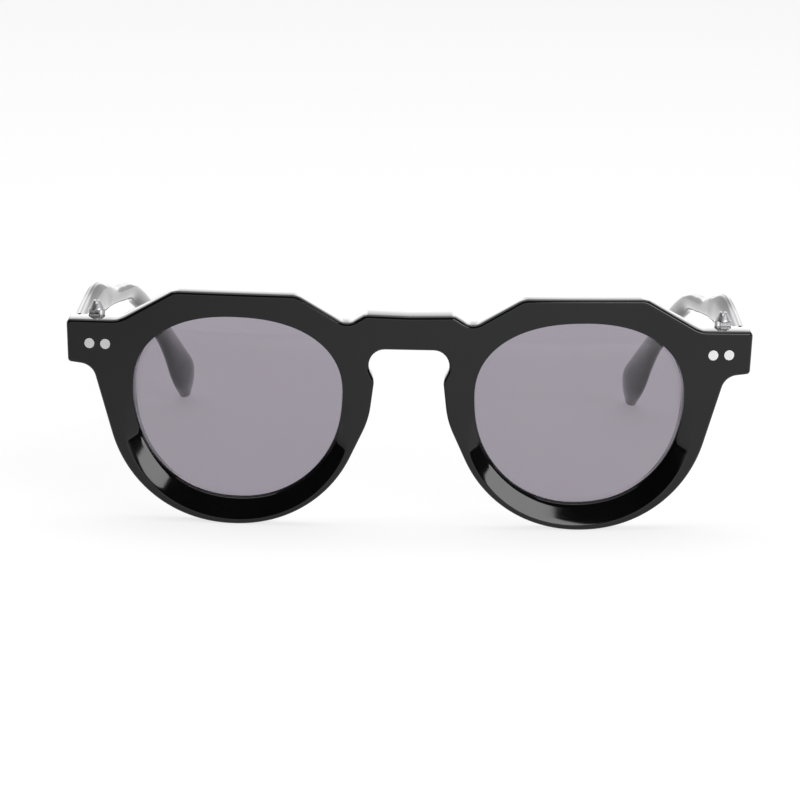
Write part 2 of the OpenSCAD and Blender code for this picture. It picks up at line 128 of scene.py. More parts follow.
# Temples
TEMPLE_START = 12.0
TEMPLE_REACH = 133.0
EAR_BEND = 84.0
TEMPLE_INSET = 4.2
TEMPLE_H = 7.4
TEMPLE_Z = 38.7
WAIST_H = 3.9
WAIST_Z = 36.6
TEMPLE_T = 4.1
TIP_T = 3.3
TIP_GAP = 101.0
RIVET_INSIDE = 0.25
TIP_BACK = 0.02
TEMPLE_POWER = 2.1
JOINT_GAP = 0.2
PAD_GAP = 0.05

# Span in which the values of a noise texture mostly lie
NOISE_LOW = 0.3
NOISE_HIGH = 0.7


def rounded(before, at, after, radius, steps=10):
    """Points of the arc that rounds the corner between two straight lines."""
    before, at, after = (np.array(p, float) for p in (before, at, after))
    u = (before - at) / np.linalg.norm(before - at)
    v = (after - at) / np.linalg.norm(after - at)
    half = math.acos(float(u @ v)) / 2
    middle = (u + v) / np.linalg.norm(u + v)
    centre = at + middle * radius / math.sin(half)
    first = at + u * radius / math.tan(half) - centre
    last = at + v * radius / math.tan(half) - centre
    start = math.atan2(first[1], first[0])
    turn = math.atan2(first[0] * last[1] - first[1] * last[0], float(first @ last))
    angles = [start + turn * i / steps for i in range(steps + 1)]
    return [centre + radius * np.array([math.cos(a), math.sin(a)]) for a in angles]


def half_outline():
    """The wearer's left half of the front's outline, from the bridge's top to the keyhole's.

    Corners are x, z and the radius of their rounding.
    """
    rim_r = LENS_W / 2 + RIM_WALL
    rim = np.array([LENS_X + RIM_SHIFT, rim_r])
    outer_end, inner_end, count = -18, -155, 90
    angles = np.radians(np.linspace(outer_end, inner_end, count))
    turn = np.stack([np.cos(angles), np.sin(angles)], axis=1)
    low_arc = list(rim + rim_r * np.sign(turn) * np.abs(turn) ** (2 / RIM_POWER))
    upper = [
        (0, BRIDGE_TOP, 0),
        (BRIDGE_L / 2, BRIDGE_TOP + 0.2, 2),
        (BRIDGE_L / 2 + 3.9, BRIDGE_TOP - 2.2, 3.5),
        (LENS_X - CROWN_L * CROWN_INNER_SHARE, CROWN_Z, 4),
        (LENS_X + CROWN_L * (1 - CROWN_INNER_SHARE), CROWN_Z, 4),
        (END_X - 11, END_TOP + 0.15, 6),
        (END_X, END_TOP - 0.1, 1),
        (END_X - 0.4, END_TOP - END_H + 0.1, 0.8),
        (END_X - 5.5, END_TOP - END_H - 0.4, 3.5),
    ]
    lower = [
        (NECK_W / 2 + 0.85, NECK_Z - 8.3, 18),
        (NECK_W / 2 - 0.15, NECK_Z, 3),
        (KEYHOLE_W / 2 + 1.8, KEYHOLE_TOP, 3.3),
        (0, KEYHOLE_TOP, 0),
    ]
    points = [np.array(upper[0][:2], float)]
    for i in range(1, len(upper)):
        after = upper[i + 1][:2] if i + 1 < len(upper) else low_arc[0]
        points += rounded(upper[i - 1][:2], upper[i][:2], after, upper[i][2])
    points += low_arc
    for i in range(len(lower) - 1):
        before = lower[i - 1][:2] if i else low_arc[-1]
        points += rounded(before, lower[i][:2], lower[i + 1][:2], lower[i][2])
    points.append(np.array(lower[-1][:2], float))
    return np.array(points)


def spaced(loop, step):
    """A closed loop with points added so that none are further apart than the step."""
    points = []
    for a, b in zip(loop, np.roll(loop, -1, axis=0)):
        count = max(1, math.ceil(np.linalg.norm(b - a) / step))
        points += [a + (b - a) * i / count for i in range(count)]
    return np.array(points)


def front_loop():
    """The whole outline as a closed loop, clockwise as the camera sees it."""
    half = half_outline()
    other = half[::-1] * [-1, 1]
    loop = np.concatenate([half, other[1:-1]])
    apart = np.linalg.norm(loop - np.roll(loop, 1, axis=0), axis=1) > 0.01
    return spaced(loop[apart], 1.0)


def inset(loop, depth):
    """A closed clockwise loop moved inwards by a depth, which can differ from point to point."""
    ahead = np.roll(loop, -1, axis=0) - loop
    behind = loop - np.roll(loop, 1, axis=0)
    ahead /= np.linalg.norm(ahead, axis=1)[:, None]
    behind /= np.linalg.norm(behind, axis=1)[:, None]
    along = ahead + behind
    along /= np.linalg.norm(along, axis=1)[:, None]
    inward = np.stack([along[:, 1], -along[:, 0]], axis=1)
    least_share = 0.5
    stretch = 1 / np.maximum(least_share, (along * ahead).sum(axis=1))
    return loop + inward * (depth * stretch)[:, None]


def lens_loop(margin, count=180):
    """The lens opening's outline in the lens's own plane: offsets from its centre."""
    angles = np.linspace(0, 2 * math.pi, count, endpoint=False)
    cos, sin = np.cos(angles), np.sin(angles)
    power = 2 / np.where(sin > 0, UPPER_POWER, LOWER_POWER)
    u = (LENS_W / 2 + margin) * np.sign(cos) * np.abs(cos) ** power
    up = np.where(sin > 0, LENS_UP, LENS_DOWN) + margin
    v = up * np.sign(sin) * np.abs(sin) ** power
    turned = math.cos(LENS_TURN), math.sin(LENS_TURN)
    return np.stack([u * turned[0] - v * turned[1], u * turned[1] + v * turned[0]], axis=1)


def face_y(x, radius=FACE_R):
    """Depth of an upright cylinder around the centre of the curved face."""
    return FACE_R - np.sqrt(radius * radius - np.asarray(x, float) ** 2)


def smooth(t):
    """Soft step from 0 to 1."""
    t = np.clip(t, 0, 1)
    return t * t * (3 - 2 * t)


def lens_radius(angle):
    """Distance of the lens opening's edge from its centre, by direction."""
    loop = lens_loop(0, 720)
    directions = np.arctan2(loop[:, 1], loop[:, 0])
    order = np.argsort(directions)
    lengths = np.hypot(loop[:, 0], loop[:, 1])[order]
    return np.interp(angle, directions[order], lengths, period=2 * math.pi)


def scoop_share(angle):
    """How fully the scoop is cut in a direction from the lens's centre: 0 above, 1 below."""
    below = np.degrees(np.arcsin(np.clip(-np.sin(angle), -1, 1)))
    return smooth((below - SCOOP_FADE_FROM) / SCOOP_FADE_OVER)


def crease_radius(angle):
    """Distance of the scoop's outer edge from the lens's centre."""
    edge = lens_radius(angle)
    dx, dz = SCOOP_X, SCOOP_Z - LENS_Z
    along = dx * np.cos(angle) + dz * np.sin(angle)
    full = along + np.sqrt(np.maximum(0, SCOOP_R ** 2 - dx * dx - dz * dz + along ** 2))
    full *= 1 + SCOOP_FULLER * np.sin(2 * angle) ** 2
    return edge + np.maximum(0, full - edge) * scoop_share(angle)


def scoop_depth(x, z):
    """How deep the scoops cut into the face at given places: an even slope with a soft start.

    The soft start shrinks where the scoop itself is narrow.
    """
    du = np.abs(x) - LENS_X
    dz = z - LENS_Z
    angle = np.arctan2(dz, du)
    crease = crease_radius(angle)
    least_room, past_lip = 0.02, 1.15
    room = np.maximum(crease - lens_radius(angle), 1e-6)
    soft = SCOOP_SOFT * np.clip(room / 2, 0.01, 1)
    past = crease - np.hypot(du, dz)
    started = np.where(past < soft, np.maximum(0, past + soft) ** 2 / (4 * soft), past)
    run = np.clip(started / room, 0, past_lip)
    return SCOOP_DEPTH * scoop_share(angle) * run * (room > least_room)


def front_depth(x, z):
    """Depth of the front's face, with the scoops."""
    return face_y(x) + scoop_depth(x, z)


def back_depth(x, z):
    """Depth of the front's back face: thinner behind each lens, with seats for the plates."""
    x = np.asarray(x, float)
    plain = face_y(x, BACK_R)
    reach = RIM_T + HOLLOW_R
    centre_x = LENS_X - reach * math.sin(WRAP)
    centre_y = float(face_y(LENS_X)) + reach * math.cos(WRAP)
    off = np.abs(x) - centre_x
    hollow = centre_y - np.sqrt(np.maximum(1, HOLLOW_R ** 2 - off ** 2))
    back = np.minimum(plain, np.where(np.abs(off) < HOLLOW_R - 1, hollow, plain))
    across = np.abs(np.abs(x) - PLATE_X) / math.cos(END_TURN)
    seat = (across < PLATE_W / 2 + SEAT_FIT) & (np.abs(z - PLATE_Z) < PLATE_H / 2 + SEAT_FIT)
    return back - seat * (PLATE_T + SEAT_FIT)


def seat_line(side, margin):
    """Closed line around a hinge plate in the back of an endpiece."""
    half_w = (PLATE_W / 2 + margin) * math.cos(END_TURN)
    half_h = PLATE_H / 2 + margin
    corners = [(-half_w, -half_h), (half_w, -half_h), (half_w, half_h), (-half_w, half_h)]
    loop = spaced(np.array(corners) + [PLATE_X, PLATE_Z], 1.0) * [side, 1]
    return np.concatenate([loop, loop[:1]])


def lens_to_front(local, depth):
    """Places on the front of points in a lens's plane, at a depth behind its tangent plane."""
    x = LENS_X + local[:, 0] * math.cos(WRAP) - depth * math.sin(WRAP)
    return np.stack([x, LENS_Z + local[:, 1]], axis=1)


def new_object(name, mesh, material):
    """Adds a mesh as an object with a material."""
    piece = bpy.data.objects.new(name, mesh)
    bpy.context.scene.collection.objects.link(piece)
    mesh.materials.append(material)
    return piece


def mesh_from(name, points, faces):
    """Mesh from points in millimetres, moved into the CAD frame."""
    mesh = bpy.data.meshes.new(name)
    placed = [(p[0] * MM, (p[1] + FRONT_Y) * MM, p[2] * MM) for p in points]
    mesh.from_pydata(placed, [], [tuple(f) for f in faces])
    mesh.validate()
    return mesh


def shade(mesh, angle):
    """Smooth shading, with edges sharper than an angle in degrees kept crisp."""
    mesh.polygons.foreach_set("use_smooth", [True] * len(mesh.polygons))
    mesh.set_sharp_from_angle(angle=math.radians(angle))
    mesh.update()


def outward(mesh):
    """Turns all faces of a closed mesh outwards and joins points that coincide."""
    work = bmesh.new()
    work.from_mesh(mesh)
    bmesh.ops.remove_doubles(work, verts=work.verts, dist=0.002 * MM)
    bmesh.ops.recalc_face_normals(work, faces=work.faces)
    work.to_mesh(mesh)
    work.free()


def inside(points, loop):
    """Which points lie inside a closed loop."""
    x, z = points[:, 0][:, None], points[:, 1][:, None]
    ax, az = loop[:, 0][None], loop[:, 1][None]
    bx, bz = np.roll(ax, -1), np.roll(az, -1)
    rise = np.where(bz == az, 1e-12, bz - az)
    crosses = ((az > z) != (bz > z)) & (x < ax + (z - az) * (bx - ax) / rise)
    return crosses.sum(axis=1) % 2 == 1


def sheet(loops, guides, step):
    """Triangles between an outer loop and its holes.

    loops holds a group of nested rings for the outline, outermost first, and one for each
    hole, innermost first. guides are lines that the triangles' edges follow, and step is the
    distance between the points that fill the rest.
    """
    points, edges = [], []
    for ring in [r for group in loops for r in group]:
        start = len(points)
        points += list(ring)
        edges += [(start + i, start + (i + 1) % len(ring)) for i in range(len(ring))]
    for line in guides:
        start = len(points)
        points += list(line)
        edges += [(start + i, start + i + 1) for i in range(len(line) - 1)]
    fixed = np.array(points)
    low, high = fixed.min(axis=0), fixed.max(axis=0)
    xs = np.arange(low[0] + step / 2, high[0], step)
    zs = np.arange(low[1] + step / 2, high[1], step)
    grid = np.array([(x + (k % 2) * step / 2, z) for k, z in enumerate(zs) for x in xs])
    grid = grid[inside(grid, loops[0][-1])]
    for group in loops[1:]:
        grid = grid[~inside(grid, group[-1])]
    clearance, same_place = step * 0.55, 1e-5
    near = np.array([np.min(np.hypot(*(fixed - p).T)) for p in grid])
    points += list(grid[near > clearance])
    result = delaunay_2d_cdt([Vector(p) for p in points], edges, [], 0, same_place)
    flat = np.array([tuple(v) for v in result[0]])
    triangles = np.array(result[2])
    middles = flat[triangles].mean(axis=1)
    keep = inside(middles, loops[0][0])
    for group in loops[1:]:
        keep &= ~inside(middles, group[0])
    return flat, triangles[keep], result[3]


def back_edge():
    """Radius of the back's outer edge at each point of the outline: rounder behind the rims."""
    reach, fade = 25, 9
    off = np.abs(np.abs(front_loop()[:, 0]) - LENS_X)
    return END_BACK_EDGE + (RIM_BACK_EDGE - END_BACK_EDGE) * smooth((reach - off) / fade)


def edge_rings(radius):
    """Insets and drops of the rings that round an edge, from the edge inwards."""
    angles = [math.pi / 2 * i / ROUND_STEPS for i in range(ROUND_STEPS + 1)]
    rings = [(radius * (1 - math.cos(a)), radius * (1 - math.sin(a))) for a in angles]
    return rings + [(radius * ROUND_SPAN, 0.0)]


def lip_radius(angle):
    """Radius of a lens opening's front edge in a direction: broad where the scoop is."""
    return LENS_FRONT_EDGE + (LIP_EDGE - LENS_FRONT_EDGE) * scoop_share(angle)


def lip_edge():
    """Radius of each lens opening's front edge, point by point."""
    loop = lens_loop(0)
    return lip_radius(np.arctan2(loop[:, 1], loop[:, 0]))


def skin_of_front(depth_of, edge, lens_edge, sign, opening, guides):
    """One face of the front: points with their depth, triangles, and the edge loops.

    edge and lens_edge are the radii of the outline's and the lens openings' edges. sign is 1
    for the face, whose edges drop backwards, and -1 for the back. opening gives the outline
    of a lens opening grown by a margin.
    """
    outer_rings = edge_rings(edge)
    lens_rings = edge_rings(lens_edge)
    outline = front_loop()
    groups = [[inset(outline, d) for d, _ in outer_rings]]
    drops = [[drop for _, drop in outer_rings]]
    for side in (1, -1):
        groups.append([opening(d) * [side, 1] for d, _ in lens_rings])
        drops.append([drop for _, drop in lens_rings])
    flat, triangles, origins = sheet(groups, guides, SHEET_STEP)
    drop_of_input = []
    for rings, values in zip(groups, drops):
        for ring, value in zip(rings, values):
            drop_of_input += list(np.broadcast_to(value, len(ring)))
    drop = np.zeros(len(flat))
    for i, from_inputs in enumerate(origins):
        known = [drop_of_input[k] for k in from_inputs if k < len(drop_of_input)]
        if known:
            drop[i] = max(known)
    depth = depth_of(flat[:, 0], flat[:, 1]) + sign * drop
    points = np.stack([flat[:, 0], depth, flat[:, 1]], axis=1)
    index = {}
    for i, from_inputs in enumerate(origins):
        for k in from_inputs:
            index[k] = i
    loops = []
    start = 0
    for rings in groups:
        loops.append([index[start + i] for i in range(len(rings[0]))])
        start += sum(len(ring) for ring in rings)
    return points, triangles, loops


def face_opening(margin):
    """Outline of the left lens opening on the face, grown by a margin."""
    local = lens_loop(margin)
    depth = FACE_R - np.sqrt(FACE_R ** 2 - local[:, 0] ** 2)
    place = lens_to_front(local, depth)
    return lens_to_front(local, depth + scoop_depth(place[:, 0], place[:, 1]))


def back_opening(margin):
    """Outline of the left lens opening on the back face, grown by a margin."""
    local = lens_loop(margin)
    plain = FACE_R - np.sqrt(BACK_R ** 2 - local[:, 0] ** 2)
    hollow = RIM_T + HOLLOW_R - np.sqrt(HOLLOW_R ** 2 - local[:, 0] ** 2)
    return lens_to_front(local, np.minimum(plain, hollow))


def scoop_line(side, share, offset):
    """A line along the scoop: share 0 is at the lip's edge and 1 at the crease.

    It is left out where the scoop is too narrow for it.
    """
    first, last, step = -177, -2, 1.5
    least_room = SCOOP_SOFT * (3 if share == 1 else 9)
    angles = np.radians(np.arange(first, last, step))
    inner = lens_radius(angles) + ROUND_SPAN * lip_radius(angles)
    crease = crease_radius(angles)
    room = crease - inner
    radius = inner + room * share + offset
    clear = room > least_room
    line = np.stack([LENS_X + radius * np.cos(angles), LENS_Z + radius * np.sin(angles)], axis=1)
    return line[clear] * [side, 1]


def make_front(material):
    """The front: face, back and the walls between them.

    Guide lines keep the scoops' and the plate seats' edges crisp.
    """
    lines = ((0.22, 0), (0.44, 0), (0.66, 0), (1, -SCOOP_SOFT), (1, 0), (1, SCOOP_SOFT))
    guides = [scoop_line(side, share, offset) for side in (1, -1) for share, offset in lines]
    ahead, ahead_tris, ahead_loops = skin_of_front(
        front_depth, FRONT_EDGE, lip_edge(), 1, face_opening, guides
    )
    margins = (SEAT_FIT - SEAT_WALL, SEAT_FIT + SEAT_WALL)
    seats = [seat_line(side, margin) for side in (1, -1) for margin in margins]
    behind, behind_tris, behind_loops = skin_of_front(
        back_depth, back_edge(), LENS_BACK_EDGE, -1, back_opening, seats
    )
    points = list(ahead) + list(behind)
    faces = [tuple(t) for t in ahead_tris]
    faces += [tuple(t + len(ahead)) for t in behind_tris]
    for front_ring, back_ring in zip(ahead_loops, behind_loops):
        count = len(front_ring)
        for i in range(count):
            j = (i + 1) % count
            a, b = front_ring[i], front_ring[j]
            c, d = back_ring[j] + len(ahead), back_ring[i] + len(ahead)
            faces.append((a, b, c, d))
    mesh = mesh_from("front_acetate", points, faces)
    outward(mesh)
    shade(mesh, 35)
    return new_object("front_acetate", mesh, material)


def along(keys, place):
    """Smooth curve through rows of numbers, at a place counted in rows."""
    def row(i):
        if i < 0:
            return 2 * keys[0] - keys[1]
        if i >= len(keys):
            return 2 * keys[-1] - keys[-2]
        return keys[i]

    i = min(int(place), len(keys) - 2)
    f = place - i
    a, b, c, d = row(i - 1), row(i), row(i + 1), row(i + 2)
    curve = 2 * b + (c - a) * f + (2 * a - 5 * b + 4 * c - d) * f * f
    return (curve + (3 * b - a - 3 * c + d) * f ** 3) / 2


def temple_keys():
    """Stations of the left temple: x, y, z of its top and bottom edges, and its thickness.

    It is a little thinner at the rivets, whose heads show, and its tip stays in the CAD box.
    """
    end_low = END_TOP - END_H
    x = END_X - TEMPLE_INSET
    tip = TIP_GAP / 2
    waist_top, waist_low = WAIST_Z + WAIST_H / 2, WAIST_Z - WAIST_H / 2
    mid_top, mid_low = TEMPLE_Z + TEMPLE_H / 2, TEMPLE_Z - TEMPLE_H / 2

    def ahead(share):
        return TEMPLE_START + (EAR_BEND - TEMPLE_START) * share

    def behind(share):
        return EAR_BEND + (TEMPLE_REACH - EAR_BEND) * share

    top = [
        (x, TEMPLE_START - 2, END_TOP),
        (x - 0.2, ahead(0.25), END_TOP + 0.2),
        (x - 1.0, ahead(0.45), mid_top + 0.2),
        (x - 1.9, ahead(0.56), mid_top - 1.2),
        (x - 3.0, ahead(0.67), waist_top + 0.4),
        (x - 4.2, ahead(0.79), waist_top - 0.6),
        (x - 5.7, EAR_BEND - 6, waist_top - 1.9),
        (x - 7.4, EAR_BEND + 3, waist_top - 4.8),
        (tip + 7.3, behind(0.25), 29.4),
        (tip + 5.6, behind(0.43), 24.8),
        (tip + 3.3, behind(0.61), 19.3),
        (tip + 0.9, behind(0.75), 14.0),
        (tip - 1.0, behind(0.86), 9.3),
        (tip - 0.7, behind(0.95), 4.4),
        (tip + 0.7, TEMPLE_REACH - TIP_BACK, 1.0),
    ]
    bottom = [
        (x, TEMPLE_START - 2, end_low + 0.1),
        (x - 0.6, ahead(0.25), end_low + 1.3),
        (x - 1.8, ahead(0.45), mid_low),
        (x - 2.7, ahead(0.55), mid_low + 0.4),
        (x - 3.6, ahead(0.66), waist_low + 0.3),
        (x - 4.6, ahead(0.77), waist_low - 0.6),
        (x - 5.7, EAR_BEND - 7, waist_low - 1.9),
        (x - 7.0, EAR_BEND, waist_low - 4.5),
        (tip + 8.0, behind(0.15), 26.7),
        (tip + 6.4, behind(0.30), 22.0),
        (tip + 4.5, behind(0.44), 16.9),
        (tip + 3.4, behind(0.56), 11.9),
        (tip + 2.7, behind(0.66), 7.6),
        (tip + 1.9, behind(0.76), 4.0),
        (tip + 1.3, behind(0.92), 0),
    ]
    thick = [TEMPLE_T - RIVET_INSIDE] * 2 + [TEMPLE_T - 0.18, TEMPLE_T - 0.2]
    thick += [TIP_T + 0.4, TIP_T + 0.3] + [TIP_T + 0.2] * 7 + [TIP_T, TIP_T - 0.8]
    return np.column_stack([top, bottom, thick])


def temple_ring(key, count):
    """Ring of a temple station: a rounded box between its top and bottom edges."""
    angles = 2 * math.pi * (np.arange(count) + 0.5) / count
    power = 2 / TEMPLE_POWER
    cos = np.sign(np.cos(angles)) * np.abs(np.cos(angles)) ** power
    sin = np.sign(np.sin(angles)) * np.abs(np.sin(angles)) ** power
    top, bottom, thick = key[:3], key[3:6], key[6]
    ring = (top + bottom) / 2 + (top - bottom) * sin[:, None] / 2
    ring[:, 0] += thick * (1 + cos) / 2
    return ring


def loft(name, rings, material, side, angle):
    """Closed skin over rings of points, mirrored for the right side."""
    count = len(rings[0])
    points = np.concatenate(rings) * [side, 1, 1]
    faces = []
    for i in range(len(rings) - 1):
        for j in range(count):
            k = (j + 1) % count
            a, b = i * count + j, i * count + k
            faces.append((a, b, b + count, a + count))
    faces.append(tuple(range(count)))
    faces.append(tuple((len(rings) - 1) * count + j for j in range(count)))
    mesh = mesh_from(name, points, faces)
    outward(mesh)
    shade(mesh, angle)
    return new_object(name, mesh, material)


def bevelled(piece, width, angle=40, segments=3):
    """Rounds a piece's sharp edges."""
    weld = piece.modifiers.new("join", "WELD")
    weld.merge_threshold = 0.001 * MM
    bevel = piece.modifiers.new("edges", "BEVEL")
    bevel.width = width * MM
    bevel.segments = segments
    bevel.limit_method = "ANGLE"
    bevel.angle_limit = math.radians(angle)
    return piece


def make_temple(side, material):
    """A temple, from the hinge to its tip. Its front end follows the back of the endpiece."""
    stations, ring_points, first_step = 141, 48, 0.3
    keys = temple_keys()
    places = np.linspace(0, len(keys) - 1, stations)
    rings = [temple_ring(along(keys, p), ring_points) for p in places]
    seat = [face_y(ring[:, 0], BACK_R - JOINT_GAP) for ring in rings]
    started = [i for i, ring in enumerate(rings) if ring[:, 1].min() > seat[i].max() + first_step]
    first = rings[started[0]].copy()
    first[:, 1] = face_y(first[:, 0], BACK_R - JOINT_GAP)
    kept = [first] + [rings[i] for i in started]
    name = "temple_acetate_left" if side > 0 else "temple_acetate_right"
    piece = loft(name, kept, material, side, 40)
    return bevelled(piece, 0.3, angle=50)


def make_lens(side, material):
    """A lens: two curved surfaces joined by a plain band of faces around their edges."""
    count = 120
    edge = lens_loop(LENS_IN_GROOVE, count)
    shares = np.sin(np.linspace(0, math.pi / 2, 14))
    surfaces = []
    for radius, first in ((LENS_R, LENS_SET), (LENS_R - LENS_T, LENS_SET + LENS_T)):
        rings = []
        for share in shares[1:]:
            flat = edge * share
            depth = first + radius - np.sqrt(radius ** 2 - (flat ** 2).sum(axis=1))
            x = LENS_X + flat[:, 0] * math.cos(WRAP) - depth * math.sin(WRAP)
            y = face_y(LENS_X) + flat[:, 0] * math.sin(WRAP) + depth * math.cos(WRAP)
            rings.append(np.stack([x * side, y, LENS_Z + flat[:, 1]], axis=1))
        centre = np.array([
            (LENS_X - first * math.sin(WRAP)) * side,
            face_y(LENS_X) + first * math.cos(WRAP),
            LENS_Z,
        ])
        surfaces.append((centre, rings))
    points, faces, rims = [], [], []
    for centre, rings in surfaces:
        start = len(points)
        points.append(centre)
        points += list(np.concatenate(rings))
        for j in range(count):
            k = (j + 1) % count
            faces.append((start, start + 1 + j, start + 1 + k))
            for i in range(len(rings) - 1):
                a = start + 1 + i * count
                faces.append((a + j, a + k, a + count + k, a + count + j))
        rims.append(start + 1 + (len(rings) - 1) * count)
    for j in range(count):
        k = (j + 1) % count
        faces.append((rims[0] + j, rims[0] + k, rims[1] + k, rims[1] + j))
    name = "lens_shell_left" if side > 0 else "lens_shell_right"
    mesh = mesh_from(name, points, faces)
    outward(mesh)
    shade(mesh, 40)
    return new_object(name, mesh, material)


def make_nose_pad(side, material):
    """A nose pad: a rounded ridge behind the rim's nose side."""
    pad_top, pad_l, pad_w, pad_d = 31.0, 17.0, 4.0, 4.6
    lean, spread_below, set_back, end_share = 0.35, 0.0155, 0.3, 0.55
    rings = []
    for s in np.linspace(0, 1, 33):
        z = pad_top - pad_l * s
        swell = math.sin(math.radians(14 + 152 * s)) ** 0.7
        edge = NECK_W / 2 + set_back + spread_below * (NECK_Z - z) ** 2
        wide = pad_w * (end_share + (1 - end_share) * swell)
        angles = np.radians(np.linspace(0, 180, 25))
        out = pad_d * swell * np.sin(angles) ** 0.8
        x = edge + wide * (1 - np.cos(angles)) / 2 + lean * out
        y = face_y(x, BACK_R - PAD_GAP) + out
        rings.append(np.stack([x, y, np.full(len(x), z)], axis=1))
    name = "nose_pad_acetate_left" if side > 0 else "nose_pad_acetate_right"
    return loft(name, rings, material, side, 50)


def shader(name):
    """A new material, with its nodes and links."""
    material = bpy.data.materials.new(name)
    material.use_nodes = True
    return material, material.node_tree.nodes, material.node_tree.links


def noise(nodes, links, scale, detail=3.0, stretch=(1, 1, 1)):
    """Noise in the object's own space."""
    place = nodes.new("ShaderNodeTexCoord")
    stretched = nodes.new("ShaderNodeMapping")
    stretched.inputs["Scale"].default_value = stretch
    texture = nodes.new("ShaderNodeTexNoise")
    texture.inputs["Scale"].default_value = scale
    texture.inputs["Detail"].default_value = detail
    links.new(place.outputs["Object"], stretched.inputs["Vector"])
    links.new(stretched.outputs["Vector"], texture.inputs["Vector"])
    return texture.outputs["Fac"]


def ramp(nodes, links, source, low, high):
    """Colour that follows a noise between two colours."""
    colours = nodes.new("ShaderNodeValToRGB")
    colours.color_ramp.elements[0].position = NOISE_LOW
    colours.color_ramp.elements[0].color = (*low, 1)
    colours.color_ramp.elements[1].position = NOISE_HIGH
    colours.color_ramp.elements[1].color = (*high, 1)
    links.new(source, colours.inputs["Fac"])
    return colours.outputs["Color"]


def spread(nodes, links, source, low, high):
    """Number that follows a noise between two values."""
    scaled = nodes.new("ShaderNodeMapRange")
    scaled.inputs["From Min"].default_value = NOISE_LOW
    scaled.inputs["From Max"].default_value = NOISE_HIGH
    scaled.inputs["To Min"].default_value = low
    scaled.inputs["To Max"].default_value = high
    links.new(source, scaled.inputs["Value"])
    return scaled.outputs["Result"]


def bump(nodes, links, source, distance, strength=1.0):
    """Fine relief from a number."""
    relief = nodes.new("ShaderNodeBump")
    relief.inputs["Strength"].default_value = strength
    relief.inputs["Distance"].default_value = distance
    links.new(source, relief.inputs["Height"])
    return relief.outputs["Normal"]


def acetate_material():
    """Polished black acetate: faint cloudiness, and a soft unevenness left by the buffing."""
    material, nodes, links = shader("black_acetate")
    surface = nodes["Principled BSDF"]
    clouds = noise(nodes, links, 90, 4)
    links.new(ramp(nodes, links, clouds, (0.003, 0.003, 0.0035), (0.006, 0.006, 0.0065)),
              surface.inputs["Base Color"])
    buffed = noise(nodes, links, 260, 2)
    links.new(spread(nodes, links, buffed, 0.05, 0.085), surface.inputs["Roughness"])
    waves = noise(nodes, links, 60, 1)
    links.new(bump(nodes, links, waves, 0.02 * MM, 0.25), surface.inputs["Normal"])
    surface.inputs["IOR"].default_value = 1.48
    return material


def lens_material():
    """Grey tinted lens, which lets lamp light through as tinted shadow."""
    material, nodes, links = shader("grey_lens")
    surface = nodes["Principled BSDF"]
    haze = noise(nodes, links, 30, 1)
    tint = ramp(nodes, links, haze, (0.314, 0.286, 0.332), (0.32, 0.292, 0.338))
    links.new(tint, surface.inputs["Base Color"])
    surface.inputs["Transmission Weight"].default_value = 1.0
    surface.inputs["Roughness"].default_value = 0.0
    surface.inputs["IOR"].default_value = 1.5
    clear = nodes.new("ShaderNodeBsdfTransparent")
    links.new(tint, clear.inputs["Color"])
    path = nodes.new("ShaderNodeLightPath")
    both = nodes.new("ShaderNodeMixShader")
    links.new(path.outputs["Is Shadow Ray"], both.inputs["Fac"])
    links.new(surface.outputs["BSDF"], both.inputs[1])
    links.new(clear.outputs["BSDF"], both.inputs[2])
    links.new(both.outputs["Shader"], nodes["Material Output"].inputs["Surface"])
    return material


def metal_material(name, low, high, rough, grain, stretch):
    """Satin metal with fine brushing."""
    material, nodes, links = shader(name)
    surface = nodes["Principled BSDF"]
    surface.inputs["Metallic"].default_value = 1.0
    lines = noise(nodes, links, grain, 3, stretch)
    links.new(ramp(nodes, links, lines, low, high), surface.inputs["Base Color"])
    links.new(spread(nodes, links, lines, rough[0], rough[1]), surface.inputs["Roughness"])
    links.new(bump(nodes, links, lines, 0.01 * MM, 0.3), surface.inputs["Normal"])
    return material


def dress():
    """Makes the pieces, and gives the CAD nodes that stay their materials."""
    acetate = acetate_material()
    lens = lens_material()
    hinge = metal_material("hinge_metal", (0.62, 0.62, 0.64), (0.74, 0.74, 0.75),
                           (0.18, 0.3), 1400, (1, 1, 0.15))
    rivet = metal_material("rivet_metal", (0.9, 0.89, 0.9), (0.98, 0.97, 0.98),
                           (0.6, 0.7), 1800, (1, 1, 1))
    screw = metal_material("screw_metal", (0.6, 0.6, 0.62), (0.72, 0.72, 0.73),
                           (0.38, 0.5), 1600, (1, 1, 1))
    front = make_front(acetate)
    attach(front, "front")
    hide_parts("front_frame")
    for side, word in ((1, "left"), (-1, "right")):
        temple = make_temple(side, acetate)
        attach(temple, f"{word}_temple")
        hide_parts(f"temple_{word}")
        glass = make_lens(side, lens)
        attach(glass, "front")
        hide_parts(f"lens_{word}")
        pad = make_nose_pad(side, acetate)
        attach(pad, "front")
        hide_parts(f"nose_pad_{word}")
    kinds = (("rivet", rivet), ("screw", screw), ("hinge", hinge), ("core", hinge))
    for name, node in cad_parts.items():
        for kind, material in kinds:
            if kind in name:
                node.data.materials.clear()
                node.data.materials.append(material)
                if kind != "core":
                    bevelled(node, 0.07, segments=2)
                break


def lamp(name, place, target, size, power, shape="RECTANGLE"):
    """A soft lamp that faces a target."""
    data = bpy.data.lights.new(name, "AREA")
    data.shape = shape
    data.size, data.size_y = size
    data.energy = power
    light = bpy.data.objects.new(name, data)
    bpy.context.scene.collection.objects.link(light)
    light.location = place
    direction = Vector(target) - Vector(place)
    light.rotation_euler = direction.to_track_quat("-Z", "Y").to_euler()


